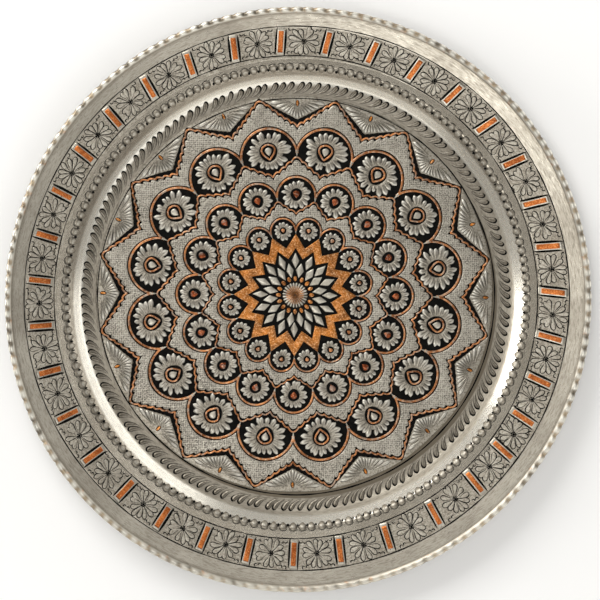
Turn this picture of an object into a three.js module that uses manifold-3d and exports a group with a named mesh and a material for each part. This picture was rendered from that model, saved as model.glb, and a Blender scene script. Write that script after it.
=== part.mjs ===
import * as THREE from 'three';
import { mergeVertices } from 'three/addons/utils/BufferGeometryUtils.js';
import Module from 'manifold-3d';

// Round hammered copper tray, tinned, with a wired rim and black filled chasing.
// Millimetres, +Z up. Origin: centre of the underside of the flat base.

const wasm = await Module();
wasm.setup();

// Driving sizes
const trayDiameter = 400;      // over the rolled rim
const trayHeight = 22.5;       // table to the top of the rim
const sheetGauge = 0.9;        // beaten copper sheet
const wireDiameter = 2;        // iron wire inside the rolled rim
const wireClearance = 0.3;     // room all round the wire
const wireEndGap = 0.8;        // between the two butted ends of the wire
const fillThickness = 0.35;    // black compound left standing in the chasing
const lineWidth = 0.7;         // filled ring lines
const fillGap = 0.35;          // between one fill and the next

// Form of the sheet, read on its middle layer
const borderWidth = 41.6;      // top of the wall to the outside of the rim
const wallRun = 11.2;          // how far the wall leans outward over its height
const wallRise = 12.15;        // floor to the top of the wall
const shelfWidth = 9.6;        // nearly level strip at the top of the wall
const shelfRise = 1.15;
const wallFillet = 12;         // large soft bend at the foot of the wall
const shoulderFillet = 5;
const footFillet = 1.1;        // where border meets curl
const curlStart = 135;         // degrees round the wire, from outward
const curlEnd = -155;
const curlFoot = 1.3;          // straight run from border up to the curl

// Chased lines on floor and border
const medallionInset = 8.9;    // foot of the wall in to the medallion line
const panelOuterInset = 13.8;  // outside of the rim in to the outer panel line
const panelWidth = 20.7;

// Chased pattern of the medallion, in shares of the medallion line's radius
const folds = 16;              // repeats round the medallion
const firstFold = 10.5;        // degrees, direction of the first outer rosette
const centre = {
  flower: 0.063,
  bead: { at: 0.083, wide: 0.0095, long: 0.014 },
  kite: { near: 0.0886, widest: 0.1265, far: 0.1614, half: 0.0223 },
  diamond: { near: 0.1366, widest: 0.172, far: 0.21, half: 0.0202 },
  starValley: 0.183,
  starTip: 0.234,
};
const bands = {                // zigzag outer edges, from the centre out
  star: { tip: 0.309, valley: 0.239, bumps: 0, bump: 0 },
  inner: { tip: 0.4744, valley: 0.41, bumps: 2, bump: 0.006 },
  middle: { tip: 0.6913, valley: 0.6012, bumps: 3, bump: 0.007 },
  outer: { tip: 0.9838, valley: 0.8487, bumps: 5, bump: 0.006 },
};
const arcades = {              // arch over each rosette, and the rosette
  inner: { at: 0.3226, radius: 0.0569, foot: 0.3214, rose: [0.3254, 0.0466, 0.0435] },
  middle: { at: 0.4914, radius: 0.0911, foot: 0.491, rose: [0.505, 0.0688, 0.0696] },
  outer: { at: 0.6974, radius: 0.1366, foot: 0.706, rose: [0.7257, 0.0931, 0.1063] },
};
const borderTip = 0.9945;
const borderValley = 0.868;

const turnSegments = 64;
const wireSides = 10;
const rad = THREE.MathUtils.degToRad;

// Worked out from the driving sizes
const trayRadius = trayDiameter / 2;
const beadRadius = wireDiameter / 2 + wireClearance + sheetGauge;
const curlRadius = beadRadius - sheetGauge / 2;
const wireAt = new THREE.Vector2(trayRadius - beadRadius, trayHeight - beadRadius);
const shoulderRadius = trayRadius - borderWidth;
const floorRadius = shoulderRadius - wallRun;
const medallionRadius = floorRadius - medallionInset;
const panelOuterRadius = trayRadius - panelOuterInset;
const panelInnerRadius = panelOuterRadius - panelWidth;
const foldAngle = 360 / folds;

// Corner points [r, z, fillet radius] joined by straight runs and round bends
function roundedPath(corners) {
  const path = [];
  corners.forEach(([r, z, fillet], i) => {
    const here = new THREE.Vector2(r, z);
    if (!fillet || i === 0 || i === corners.length - 1) {
      path.push(here);
      return;
    }
    const back = new THREE.Vector2(...corners[i - 1].slice(0, 2)).sub(here).normalize();
    const on = new THREE.Vector2(...corners[i + 1].slice(0, 2)).sub(here).normalize();
    const turn = Math.PI - Math.acos(THREE.MathUtils.clamp(back.dot(on), -1, 1));
    const middle = back.clone().add(on).normalize();
    const hub = here.clone().addScaledVector(middle, fillet / Math.cos(turn / 2));
    const start = here.clone().addScaledVector(back, fillet * Math.tan(turn / 2)).sub(hub);
    const side = Math.sign(start.cross(here.clone().sub(hub)));
    const steps = Math.max(1, Math.ceil(turn / rad(12)));
    for (let k = 0; k <= steps; k += 1) {
      const bend = start.clone().rotateAround(new THREE.Vector2(), (side * turn * k) / steps);
      path.push(bend.add(hub));
    }
  });
  return path;
}

// The same path moved sideways, keeping an even thickness round the bends
function offsetPath(path, distance) {
  return path.map((p, i) => {
    const before = path[Math.max(i - 1, 0)];
    const after = path[Math.min(i + 1, path.length - 1)];
    const a = p.clone().sub(before);
    const b = after.clone().sub(p);
    if (i === 0) a.copy(b);
    if (i === path.length - 1) b.copy(a);
    a.normalize();
    b.normalize();
    const along = a.clone().add(b).normalize();
    const reach = distance / along.dot(a);
    return new THREE.Vector2(p.x - along.y * reach, p.y + along.x * reach);
  });
}

function turned(profile) {
  const solid = new THREE.LatheGeometry(profile, turnSegments);
  solid.rotateX(Math.PI / 2);
  return solid;
}

function toManifold(geometry) {
  const bare = geometry.clone();
  bare.deleteAttribute('normal');
  bare.deleteAttribute('uv');
  const welded = mergeVertices(bare, 1e-5);
  const corners = welded.index.array;
  const kept = [];
  for (let i = 0; i < corners.length; i += 3) {
    const [a, b, c] = [corners[i], corners[i + 1], corners[i + 2]];
    if (a !== b && b !== c && a !== c) kept.push(a, b, c);
  }
  return new wasm.Manifold(new wasm.Mesh({
    numProp: 3,
    vertProperties: Float32Array.from(welded.attributes.position.array),
    triVerts: Uint32Array.from(kept),
  }));
}

function fromManifold(manifold) {
  const { vertProperties, triVerts } = manifold.getMesh();
  const geometry = new THREE.BufferGeometry();
  geometry.setAttribute('position', new THREE.BufferAttribute(vertProperties, 3));
  geometry.setIndex(new THREE.BufferAttribute(triVerts, 1));
  geometry.computeVertexNormals();
  return geometry;
}

// Sheet: floor, wall, shoulder, sloping border, then over and round the wire
function sheetCentreline() {
  const curl = (degrees) => new THREE.Vector2(
    wireAt.x + curlRadius * Math.cos(rad(degrees)),
    wireAt.y + curlRadius * Math.sin(rad(degrees)),
  );
  const first = curl(curlStart);
  const foot = first.clone().add(new THREE.Vector2(
    -Math.sin(rad(curlStart)) * curlFoot,
    Math.cos(rad(curlStart)) * curlFoot,
  ));
  const floorLevel = sheetGauge / 2;
  const wallTop = floorLevel + wallRise;
  const path = roundedPath([
    [0, floorLevel, 0],
    [floorRadius, floorLevel, wallFillet],
    [shoulderRadius, wallTop, shoulderFillet],
    [shoulderRadius + shelfWidth, wallTop + shelfRise, 0],
    [foot.x, foot.y, footFillet],
    [first.x, first.y, 0],
  ]);
  const steps = Math.round((curlStart - curlEnd) / 26);
  for (let k = 1; k <= steps; k += 1) {
    path.push(curl(curlStart + ((curlEnd - curlStart) * k) / steps));
  }
  return path;
}

const centreline = sheetCentreline();
const upperFace = offsetPath(centreline, sheetGauge / 2);
const lowerFace = offsetPath(centreline, -sheetGauge / 2);

// Strip of the upper face between two radii
function faceStrip(from, to) {
  const strip = [];
  for (let i = 1; i < upperFace.length; i += 1) {
    const [a, b] = [upperFace[i - 1], upperFace[i]];
    const cut = (r) => a.clone().lerp(b, (r - a.x) / (b.x - a.x));
    if (a.x < from && b.x >= from) strip.push(cut(from));
    if (a.x > from && a.x < to) strip.push(a.clone());
    if (a.x < to && b.x >= to) {
      strip.push(cut(to));
      break;
    }
  }
  return strip;
}

function sheetSolid() {
  return turned([...lowerFace, ...upperFace.slice().reverse()]);
}

// Wire ring with its two ends butted, a small gap left between them
function wireSolid() {
  const section = [];
  for (let i = 0; i <= wireSides; i += 1) {
    const a = (i % wireSides) * ((Math.PI * 2) / wireSides);
    section.push(new THREE.Vector2(
      wireAt.x + (wireDiameter / 2) * Math.cos(a),
      wireAt.y + (wireDiameter / 2) * Math.sin(a),
    ));
  }
  const slot = new THREE.BoxGeometry(wireEndGap, wireDiameter * 3, wireDiameter * 3);
  slot.translate(0, wireAt.x, wireAt.y);
  return fromManifold(toManifold(turned(section)).subtract(toManifold(slot)));
}

// Filled line round the tray, lying on whatever slope or bend it crosses
function lineSolid(radius) {
  const strip = faceStrip(radius - lineWidth / 2, radius + lineWidth / 2);
  const raised = offsetPath(strip, fillThickness).reverse();
  return turned([...strip, ...raised, strip[0].clone()]);
}

const polar = (share, degrees) => new THREE.Vector2(
  medallionRadius * share * Math.cos(rad(degrees)),
  medallionRadius * share * Math.sin(rad(degrees)),
);

// Straight run between a tip and the next valley, read at one angle off the tip
function zigzagShare(tip, valley, degreesOffTip) {
  const h = rad(foldAngle / 2);
  const a = rad(degreesOffTip);
  const dx = valley * Math.cos(h) - tip;
  const dy = valley * Math.sin(h);
  return (tip * dy) / (Math.cos(a) * dy - Math.sin(a) * dx);
}

// Closed zigzag with its tips at the given turn, small bumps down each side
function zigzag({ tip, valley, bumps = 0, bump = 0 }, turn) {
  const parts = Math.max(1, bumps * 2);
  const points = [];
  for (let fold = 0; fold < folds; fold += 1) {
    for (let i = 0; i < parts * 2; i += 1) {
      const off = ((i - parts) / parts) * (foldAngle / 2);
      const lift = i % 2 ? bump : 0;
      const share = zigzagShare(tip, valley, Math.abs(off)) + lift;
      points.push(polar(share, turn + fold * foldAngle + off));
    }
  }
  return points;
}

// Ring of round arches, each springing from a short foot
function archRing({ at, radius, foot }, turn) {
  const steps = 8;
  const points = [];
  for (let fold = 0; fold < folds; fold += 1) {
    for (let i = 0; i < steps; i += 1) {
      const off = (i / steps - 0.5) * foldAngle;
      const side = at * Math.sin(rad(off));
      const dome = at * Math.cos(rad(off)) + Math.sqrt(Math.max(0, radius ** 2 - side ** 2));
      points.push(polar(Math.max(foot, dome), turn + fold * foldAngle + off));
    }
  }
  return points;
}

function eachFold(turn, outline) {
  const holes = [];
  for (let fold = 0; fold < folds; fold += 1) {
    const a = rad(turn + fold * foldAngle);
    holes.push(outline.map(([x, y]) => new THREE.Vector2(
      medallionRadius * (x * Math.cos(a) - y * Math.sin(a)),
      medallionRadius * (x * Math.sin(a) + y * Math.cos(a)),
    )));
  }
  return holes;
}

function oval(at, long, wide, sides) {
  return Array.from({ length: sides }, (_, i) => {
    const a = (i * Math.PI * 2) / sides;
    return [at + long * Math.cos(a), wide * Math.sin(a)];
  });
}

const lozenge = ({ near, widest, far, half }) => [
  [near, 0], [widest, -half], [far, 0], [widest, half],
];

function plate(outline, holes) {
  const shape = new THREE.Shape(outline);
  holes.forEach((hole) => shape.holes.push(new THREE.Path(hole)));
  const solid = new THREE.ExtrudeGeometry(shape, { depth: fillThickness, bevelEnabled: false });
  solid.translate(0, 0, sheetGauge);
  return solid;
}

const onFold = firstFold;
const offFold = firstFold + foldAngle / 2;

function centreFill() {
  const circle = oval(0, centre.flower, centre.flower, 32)
    .map(([x, y]) => new THREE.Vector2(x * medallionRadius, y * medallionRadius));
  const { bead } = centre;
  return plate(zigzag({ tip: centre.starTip, valley: centre.starValley }, offFold), [
    circle,
    ...eachFold(offFold, oval(bead.at, bead.long, bead.wide, 6)),
    ...eachFold(onFold, lozenge(centre.kite)),
    ...eachFold(offFold, lozenge(centre.diamond)),
  ]);
}

// Ground of one arcade: from the zigzag band inside it out to its own arches
function arcadeFill(arcade, bandInside, bandTurn, turn) {
  return plate(archRing(arcade, turn), [
    zigzag(bandInside, bandTurn),
    ...eachFold(turn, oval(...arcade.rose, 10)),
  ]);
}

function borderFill() {
  const limit = 1 - (lineWidth / 2 + fillGap) / medallionRadius;
  const outline = zigzag({ tip: Math.min(borderTip, limit), valley: borderValley }, onFold);
  return plate(outline, [zigzag(bands.outer, onFold)]);
}

const tinned = { color: 0xb4aa97, roughness: 0.38, metalness: 1 };
const iron = { color: 0x565250, roughness: 0.55, metalness: 1 };
const black = { color: 0x15120f, roughness: 0.5, metalness: 0 };

const tray = new THREE.Group();
tray.name = 'hammered_copper_tray';

function add(name, geometry, finish) {
  const mesh = new THREE.Mesh(geometry, new THREE.MeshStandardMaterial(finish));
  mesh.name = name;
  tray.add(mesh);
}

add('tray_sheet', sheetSolid(), tinned);
add('rim_wire', wireSolid(), iron);
add('centre_star_fill', centreFill(), black);
add('inner_arcade_fill', arcadeFill(arcades.inner, bands.star, offFold, onFold), black);
add('middle_arcade_fill', arcadeFill(arcades.middle, bands.inner, onFold, offFold), black);
add('outer_arcade_fill', arcadeFill(arcades.outer, bands.middle, offFold, onFold), black);
add('star_border_fill', borderFill(), black);
add('medallion_line_fill', lineSolid(medallionRadius), black);
add('panel_inner_line_fill', lineSolid(panelInnerRadius), black);
add('panel_outer_line_fill', lineSolid(panelOuterRadius), black);

export default tray;
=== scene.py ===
import math

import bpy
import numpy as np
from mathutils import Matrix, Vector


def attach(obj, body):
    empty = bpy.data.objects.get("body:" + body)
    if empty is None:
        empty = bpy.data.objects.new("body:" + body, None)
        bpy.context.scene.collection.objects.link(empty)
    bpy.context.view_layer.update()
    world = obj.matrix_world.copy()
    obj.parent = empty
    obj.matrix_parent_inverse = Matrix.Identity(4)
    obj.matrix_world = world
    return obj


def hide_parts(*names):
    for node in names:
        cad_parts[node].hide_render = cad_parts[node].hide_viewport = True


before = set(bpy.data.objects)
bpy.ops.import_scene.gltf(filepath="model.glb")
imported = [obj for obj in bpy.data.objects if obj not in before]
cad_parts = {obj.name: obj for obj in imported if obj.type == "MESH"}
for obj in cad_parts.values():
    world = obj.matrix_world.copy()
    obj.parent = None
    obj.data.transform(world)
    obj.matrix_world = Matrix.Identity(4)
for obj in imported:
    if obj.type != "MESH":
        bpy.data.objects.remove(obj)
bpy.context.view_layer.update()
mm = 0.001
rng = np.random.default_rng(16)
scene = bpy.context.scene
scene.view_settings.view_transform = "Standard"

# camera, looking down into the tray from a little up and to the left
cameraView = {
    "lens": 85.3,
    "sensor": 36,
    "distance": 0.969,       # from the rim
    "lean": 3.0,             # degrees off plumb
    "leanTowards": 120,      # degrees round from +X
    "aim": (0.00024, 0.00152, 0.0205),
}


def addCamera(view):
    data = bpy.data.cameras.new("camera")
    data.lens = view["lens"]
    data.sensor_width = view["sensor"]
    data.dof.use_dof = False
    camera = bpy.data.objects.new("camera", data)
    scene.collection.objects.link(camera)
    lean, side = math.radians(view["lean"]), math.radians(view["leanTowards"])
    back = Vector((math.sin(lean) * math.cos(side), math.sin(lean) * math.sin(side), math.cos(lean)))
    right = Vector((0, 1, 0)).cross(back).normalized()
    turn = Matrix((right, back.cross(right), back)).transposed().to_4x4()
    camera.matrix_world = Matrix.Translation(Vector(view["aim"]) + back * view["distance"]) @ turn
    scene.camera = camera


addCamera(cameraView)
print("camera in place")


# small helpers for nodes, so that each finish reads as a list
def newMaterial(name):
    material = bpy.data.materials.new(name)
    material.use_nodes = True
    tree = material.node_tree
    tree.nodes.clear()
    output = tree.nodes.new("ShaderNodeOutputMaterial")
    skin = tree.nodes.new("ShaderNodeBsdfPrincipled")
    tree.links.new(skin.outputs[0], output.inputs[0])
    place = tree.nodes.new("ShaderNodeTexCoord").outputs["Object"]
    return material, tree, skin, place


def feed(tree, socket, value):
    if hasattr(value, "is_output"):
        tree.links.new(value, socket)
    elif isinstance(value, (tuple, list)) and len(value) == 3 and socket.type == "RGBA":
        socket.default_value = (*value, 1)
    else:
        socket.default_value = value


def maths(tree, kind, a, b=0.5, c=0.5):
    node = tree.nodes.new("ShaderNodeMath")
    node.operation = kind
    for socket, value in zip(node.inputs, (a, b, c)):
        feed(tree, socket, value)
    return node.outputs[0]


def times(tree, a, b):
    return maths(tree, "MULTIPLY", a, b)


def blend(tree, share, a, b):
    node = tree.nodes.new("ShaderNodeMix")
    node.data_type = "RGBA"
    feed(tree, node.inputs[0], share)
    feed(tree, node.inputs[6], a)
    feed(tree, node.inputs[7], b)
    return node.outputs[2]


def spread(tree, value, low, high, newLow=0.0, newHigh=1.0):
    node = tree.nodes.new("ShaderNodeMapRange")
    for socket, number in zip(node.inputs, (value, low, high, newLow, newHigh)):
        feed(tree, socket, number)
    return node.outputs[0]


def clouds(tree, place, size, detail=3.0, rough=0.5, stretch=None):
    if stretch:
        scaled = tree.nodes.new("ShaderNodeVectorMath")
        scaled.operation = "MULTIPLY"
        feed(tree, scaled.inputs[0], place)
        scaled.inputs[1].default_value = stretch
        place = scaled.outputs[0]
    node = tree.nodes.new("ShaderNodeTexNoise")
    feed(tree, node.inputs["Vector"], place)
    node.inputs["Scale"].default_value = 1 / (size * mm)
    node.inputs["Detail"].default_value = detail
    node.inputs["Roughness"].default_value = rough
    return node.outputs[0]


def dents(tree, place, size):
    node = tree.nodes.new("ShaderNodeTexVoronoi")
    node.feature = "SMOOTH_F1"
    feed(tree, node.inputs["Vector"], place)
    node.inputs["Scale"].default_value = 1 / (size * mm)
    node.inputs["Smoothness"].default_value = 0.35
    return node.outputs["Distance"]


def bumps(tree, skin, layers):
    # each layer: height, strength, and how deep it goes in millimetres
    normal = None
    for height, strength, distance in layers:
        node = tree.nodes.new("ShaderNodeBump")
        node.inputs["Strength"].default_value = strength
        node.inputs["Distance"].default_value = distance * mm
        feed(tree, node.inputs["Height"], height)
        if normal:
            tree.links.new(normal, node.inputs["Normal"])
        normal = node.outputs[0]
    tree.links.new(normal, skin.inputs["Normal"])


def dress(tree, skin, colour, rough, metal=1.0):
    feed(tree, skin.inputs["Base Color"], colour)
    feed(tree, skin.inputs["Roughness"], rough)
    skin.inputs["Metallic"].default_value = metal


def aroundTray(tree, place):
    # radius in metres, and a vector that changes only slowly along a ring
    split = tree.nodes.new("ShaderNodeSeparateXYZ")
    feed(tree, split.inputs[0], place)
    x, y, z = split.outputs
    radius = maths(tree, "SQRT", maths(tree, "ADD", times(tree, x, x), times(tree, y, y)))
    join = tree.nodes.new("ShaderNodeCombineXYZ")
    feed(tree, join.inputs[0], maths(tree, "DIVIDE", x, radius))
    feed(tree, join.inputs[1], maths(tree, "DIVIDE", y, radius))
    feed(tree, join.inputs[2], maths(tree, "ADD", radius, z))
    return radius, join.outputs[0]


def shares(tree):
    # 0 along the middle of a strip and 1 at its two edges; then 0 at its start and 1 at its end
    node = tree.nodes.new("ShaderNodeUVMap")
    node.uv_map = "across"
    split = tree.nodes.new("ShaderNodeSeparateXYZ")
    feed(tree, split.inputs[0], node.outputs[0])
    fromMiddle = maths(tree, "ABSOLUTE", maths(tree, "MULTIPLY_ADD", split.outputs[0], 2.0, -1.0))
    return fromMiddle, split.outputs[1]


# finishes
tinTones = {
    # paintedHighlight: light tin, painted on as a highlight
    "paintedHighlight": (0.74, 0.715, 0.64),
    "bright": (0.54, 0.505, 0.43),
    "grey": (0.36, 0.33, 0.275),
    # stainAndShade: dark tin, used for real stains and also as painted shade
    "stainAndShade": (0.165, 0.14, 0.105),
    "soot": (0.018, 0.015, 0.012),
    "tan": (0.42, 0.33, 0.22),
    "copperShow": (0.50, 0.25, 0.12),
}
copperTones = {"clean": (0.60, 0.255, 0.10), "old": (0.20, 0.075, 0.03), "pale": (0.76, 0.54, 0.38)}
starTones = {"clean": (0.62, 0.225, 0.045), "old": (0.20, 0.075, 0.022), "pale": (0.84, 0.55, 0.31)}
eyeTones = {"clean": (0.34, 0.085, 0.03), "old": (0.12, 0.03, 0.012), "pale": (0.62, 0.26, 0.13)}
barTones = {"clean": (0.60, 0.18, 0.045), "old": (0.28, 0.07, 0.018), "pale": (0.80, 0.36, 0.13)}


def cloudyTin(tree, cloudy, low, high):
    return blend(tree, spread(tree, cloudy, low, high), tinTones["grey"], tinTones["bright"])


sheetZones = {
    # metres from the middle where a zone fades in and out, its tone and how much of it, extra roughness
    "panel": {"from": (0.1658, 0.1666), "to": (0.1860, 0.1852), "tone": "stainAndShade", "much": 0.65, "rough": 0.12},
    # foot: painted shade in the concave fillet beside the rim bead
    "foot": {"from": (0.1935, 0.1952), "tone": "stainAndShade", "much": 0.5},
    # wall: lighter tin as a painted highlight on the wall's bright ring; the tin is also smoother here
    "wall": {"from": (0.1492, 0.1504), "to": (0.1560, 0.1545), "tone": "paintedHighlight", "much": 0.75, "rough": -0.07},
    "well": {"from": (0.1387, 0.1380), "tone": "stainAndShade", "much": 1.0},
    "shelf": {"from": (0.1545, 0.1560), "to": (0.1662, 0.1655), "tone": "stainAndShade", "much": 0.3, "rough": -0.06},
    # corner: darker and rougher inside the foot of the wall
    "corner": {"from": (0.1500, 0.1480), "tone": "stainAndShade", "much": 0.42, "rough": 0.22},
}


def tinnedSheet():
    material, tree, skin, place = newMaterial("tinnedCopperSheet")
    radius, ring = aroundTray(tree, place)
    streaks = clouds(tree, ring, 40, 6, 0.62, (1.5, 1.5, 45))
    fine = clouds(tree, place, 1.1, 2, 0.5)
    grain = spread(tree, fine, 0.42, 0.62)
    colour = cloudyTin(tree, clouds(tree, place, 42, 4, 0.6), 0.32, 0.68)
    colour = blend(tree, spread(tree, streaks, 0.46, 0.66, 0, 0.6), colour, tinTones["stainAndShade"])
    rough = spread(tree, streaks, 0.3, 0.75, 0.25, 0.42)
    for name, zone in sheetZones.items():
        inside = spread(tree, radius, *zone["from"])
        if "to" in zone:
            inside = times(tree, inside, spread(tree, radius, *zone["to"]))
        share = times(tree, inside, zone["much"])
        if name == "panel":
            # the panels are punched all over, and the stain sits in the pits
            share = times(tree, share, grain)
            pitted = times(tree, inside, fine)
        colour = blend(tree, share, colour, tinTones[zone["tone"]])
        rough = maths(tree, "MULTIPLY_ADD", inside, zone.get("rough", 0.0), rough)
    dress(tree, skin, colour, rough)
    bumps(tree, skin, [(dents(tree, place, 9), 0.35, 0.10), (streaks, 0.07, 0.25), (pitted, 0.6, 0.25)])
    return material


rimWork = {
    "segments": 1884, "curlSteps": 22,
    "notches": 157, "depth": 0.8, "jitter": 0.09, "uneven": 0.25,
    "proud": 0.03,                        # the rim's skin stands just outside the sheet's
    "calmAt": 272, "calmWidth": 36,       # degrees round where the notches are worn down
    "gapWidth": 0.27, "grimeAndShade": 0.85,
}


def rimTin():
    material, tree, skin, place = newMaterial("rolledRimTin")
    cloudy = clouds(tree, place, 16, 4, 0.6)
    rub = clouds(tree, place, 5, 3, 0.6)
    gap, lump = shares(tree)
    colour = cloudyTin(tree, cloudy, 0.35, 0.65)
    colour = blend(tree, spread(tree, rub, 0.58, 0.70, 0, 0.75), colour, tinTones["copperShow"])
    # painted shade on the inner side and underside of the bead, away from the notches
    colour = blend(tree, spread(tree, lump, 0.3, 0.0, 0, 0.6), colour, tinTones["stainAndShade"])
    # a painted highlight on each lump between the notches
    colour = blend(tree, times(tree, lump, spread(tree, gap, 0.8, 0.1)), colour, tinTones["paintedHighlight"])
    # grime and painted shade in the notches between the lumps
    grimeAndShade = blend(tree, spread(tree, cloudy, 0.4, 0.6), tinTones["stainAndShade"], tinTones["tan"])
    colour = blend(tree, spread(tree, gap, 0.15, 0.85, 0, rimWork["grimeAndShade"]), colour, grimeAndShade)
    dress(tree, skin, colour, spread(tree, cloudy, 0.3, 0.7, 0.36, 0.52))
    bumps(tree, skin, [(rub, 0.3, 0.3), (clouds(tree, place, 1.2), 0.2, 0.1)])
    return material


def reliefTin(name, stainAndShade, rough, edge, edgeFrom, base=0.0, dull=0.0, tip=0.0, vein=0.0):
    # raised tin: blackened along its edges, partly black in the joins and partly painted shade between
    # neighbouring pieces; where asked, painted shade at its base and a painted highlight at its tip
    material, tree, skin, place = newMaterial(name)
    fine = clouds(tree, place, 1.3, 3, 0.6)
    side, end = shares(tree)
    colour = cloudyTin(tree, clouds(tree, place, 18, 4, 0.6), 0.3, 0.7)
    colour = blend(tree, spread(tree, fine, 0.45, 0.66, 0, stainAndShade), colour, tinTones["stainAndShade"])
    if dull:
        colour = blend(tree, dull, colour, tinTones["stainAndShade"])
    # painted shade towards the start of the strip
    if base:
        colour = blend(tree, spread(tree, end, 0.05, 0.75, base, 0), colour, tinTones["stainAndShade"])
    # painted highlight towards the end of the strip
    if tip:
        colour = blend(tree, spread(tree, end, 0.45, 0.85, 0, tip), colour, tinTones["paintedHighlight"])
    if vein:
        line = times(tree, spread(tree, side, 0.30, 0.08, 0, vein), spread(tree, end, 0.85, 0.6))
        colour = blend(tree, line, colour, tinTones["soot"])
    # black along the edges: black in the joins, and painted shade between neighbouring raised pieces
    colour = blend(tree, spread(tree, side, edgeFrom, 0.97, 0, edge), colour, tinTones["soot"])
    dress(tree, skin, colour, spread(tree, fine, 0.3, 0.7, rough - 0.06, rough + 0.10))
    bumps(tree, skin, [(fine, 0.5, 0.2)])
    return material


stipple = {"pitch": 1.3, "wander": 0.4, "soot": 0.75, "depth": 0.3, "dull": 0.04}


def stippledTin():
    # small punched dots, blackened at the bottom
    material, tree, skin, place = newMaterial("stippledTin")
    dots = tree.nodes.new("ShaderNodeTexVoronoi")
    feed(tree, dots.inputs["Vector"], place)
    dots.inputs["Scale"].default_value = 1 / (stipple["pitch"] * mm)
    dots.inputs["Randomness"].default_value = stipple["wander"]
    depth = spread(tree, clouds(tree, place, 3, 2, 0.5), 0.35, 0.6, 0.5, 1)
    cut = times(tree, spread(tree, dots.outputs["Distance"], 0.56, 0.22), depth)
    colour = cloudyTin(tree, clouds(tree, place, 18, 4, 0.6), 0.2, 0.6)
    colour = blend(tree, stipple["dull"], colour, tinTones["stainAndShade"])
    colour = blend(tree, times(tree, cut, stipple["soot"]), colour, tinTones["soot"])
    colour = blend(tree, spread(tree, shares(tree)[0], 0.93, 0.99, 0, 0.6), colour, tinTones["soot"])
    dress(tree, skin, colour, spread(tree, cut, 0, 1, 0.36, 0.55))
    bumps(tree, skin, [(maths(tree, "SUBTRACT", 1.0, cut), 0.6, stipple["depth"])])
    return material


def bareCopper(name, tones, stippled=False):
    material, tree, skin, place = newMaterial(name)
    cloudy = clouds(tree, place, 9, 4, 0.65)
    fine = clouds(tree, place, 0.9 if stippled else 1.6, 3, 0.6)
    colour = blend(tree, spread(tree, cloudy, 0.35, 0.65), tones["old"], tones["clean"])
    colour = blend(tree, spread(tree, fine, 0.52, 0.66, 0, 0.7), colour, tones["pale"])
    if stippled:
        colour = blend(tree, spread(tree, fine, 0.46, 0.36, 0, 0.75), colour, tones["old"])
    else:
        # traces of tin that the scraper left
        left = clouds(tree, place, 3.5, 3, 0.6)
        colour = blend(tree, spread(tree, left, 0.52, 0.64, 0, 0.6), colour, tinTones["grey"])
    dress(tree, skin, colour, spread(tree, fine, 0.3, 0.7, 0.42, 0.28))
    bumps(tree, skin, [(fine, 0.7 if stippled else 0.4, 0.25)])
    return material


mottles = {
    # grain in millimetres, two tones and where one turns into the other, roughness, metal, bump
    "blackFill": {"grain": 2.2, "tones": ((0.0015, 0.0014, 0.0012), (0.008, 0.0075, 0.006)),
                  "turn": (0.4, 0.75), "rough": (0.55, 0.8), "metal": 0.0, "bump": (0.5, 0.15),
                  "shine": 0.06},
    "darkenedTin": {"grain": 1.4, "tones": (tinTones["soot"], tinTones["stainAndShade"]), "turn": (0.35, 0.7),
                    "rough": (0.45, 0.65), "metal": 0.8, "bump": (0.4, 0.2), "shine": 0.5},
    "ironWire": {"grain": 3.0, "tones": ((0.22, 0.21, 0.20), (0.20, 0.10, 0.05)), "turn": (0.45, 0.7),
                 "rough": (0.4, 0.7), "metal": 0.9, "bump": (0.3, 0.2), "shine": 0.5},
}


def mottled(name):
    material, tree, skin, place = newMaterial(name)
    look = mottles[name]
    fine = clouds(tree, place, look["grain"], 4, 0.6)
    colour = blend(tree, spread(tree, fine, *look["turn"]), *look["tones"])
    dress(tree, skin, colour, spread(tree, fine, 0.3, 0.7, *look["rough"]), look["metal"])
    skin.inputs["Specular IOR Level"].default_value = look["shine"]
    bumps(tree, skin, [(fine, *look["bump"])])
    return material


sheetFinish = tinnedSheet()
rimFinish = rimTin()
# in these finishes, base is painted shade at a piece's start and tip is a painted highlight at its end
petalFinish = reliefTin("petalTin", 0.5, 0.36, edge=0.95, edgeFrom=0.55, base=0.32, tip=0.6, vein=0.5)
fanFinish = reliefTin("fanTin", 0.6, 0.40, edge=0.95, edgeFrom=0.42, base=0.1, tip=0.6, vein=0.4)
kiteFinish = reliefTin("kiteTin", 0.35, 0.34, edge=0.8, edgeFrom=0.72, tip=0.35)
cushionFinish = reliefTin("cushionTin", 0.85, 0.42, edge=0.5, edgeFrom=0.6, dull=0.35)
flowerFinish = reliefTin("flowerTin", 0.65, 0.42, edge=0.5, edgeFrom=0.80)
# the rope's tin is darker all over and at the head of each leaf, as painted shade at the foot of the wall
ropeFinish = reliefTin("ropeTin", 0.75, 0.38, edge=0.95, edgeFrom=0.5, base=0.5, dull=0.35, vein=0.6)
chainFinish = reliefTin("chainTin", 0.8, 0.38, edge=0.85, edgeFrom=0.5, base=0.5, dull=0.45)
pearlFinish = reliefTin("pearlTin", 0.6, 0.42, edge=0.7, edgeFrom=0.7, base=0.2, dull=0.1, tip=0.25)
frameFinish = reliefTin("frameTin", 0.25, 0.30, edge=0.2, edgeFrom=0.9)
fanGroundFinish = reliefTin("fanGroundTin", 0.8, 0.42, edge=0.0, edgeFrom=0.99, dull=0.15)
bandFinish = stippledTin()
copperFinish = bareCopper("bareCopper", copperTones)
starFinish = bareCopper("stippledCopper", starTones, stippled=True)
barFinish = bareCopper("struckCopper", barTones, stippled=True)
eyeFinish = bareCopper("dullCopper", eyeTones)
blackFinish = mottled("blackFill")
groundFinish = mottled("darkenedTin")
wireFinish = mottled("ironWire")
print("finishes mixed")


def unit(v):
    return v / np.maximum(np.linalg.norm(v, axis=-1, keepdims=True), 1e-9)


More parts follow.
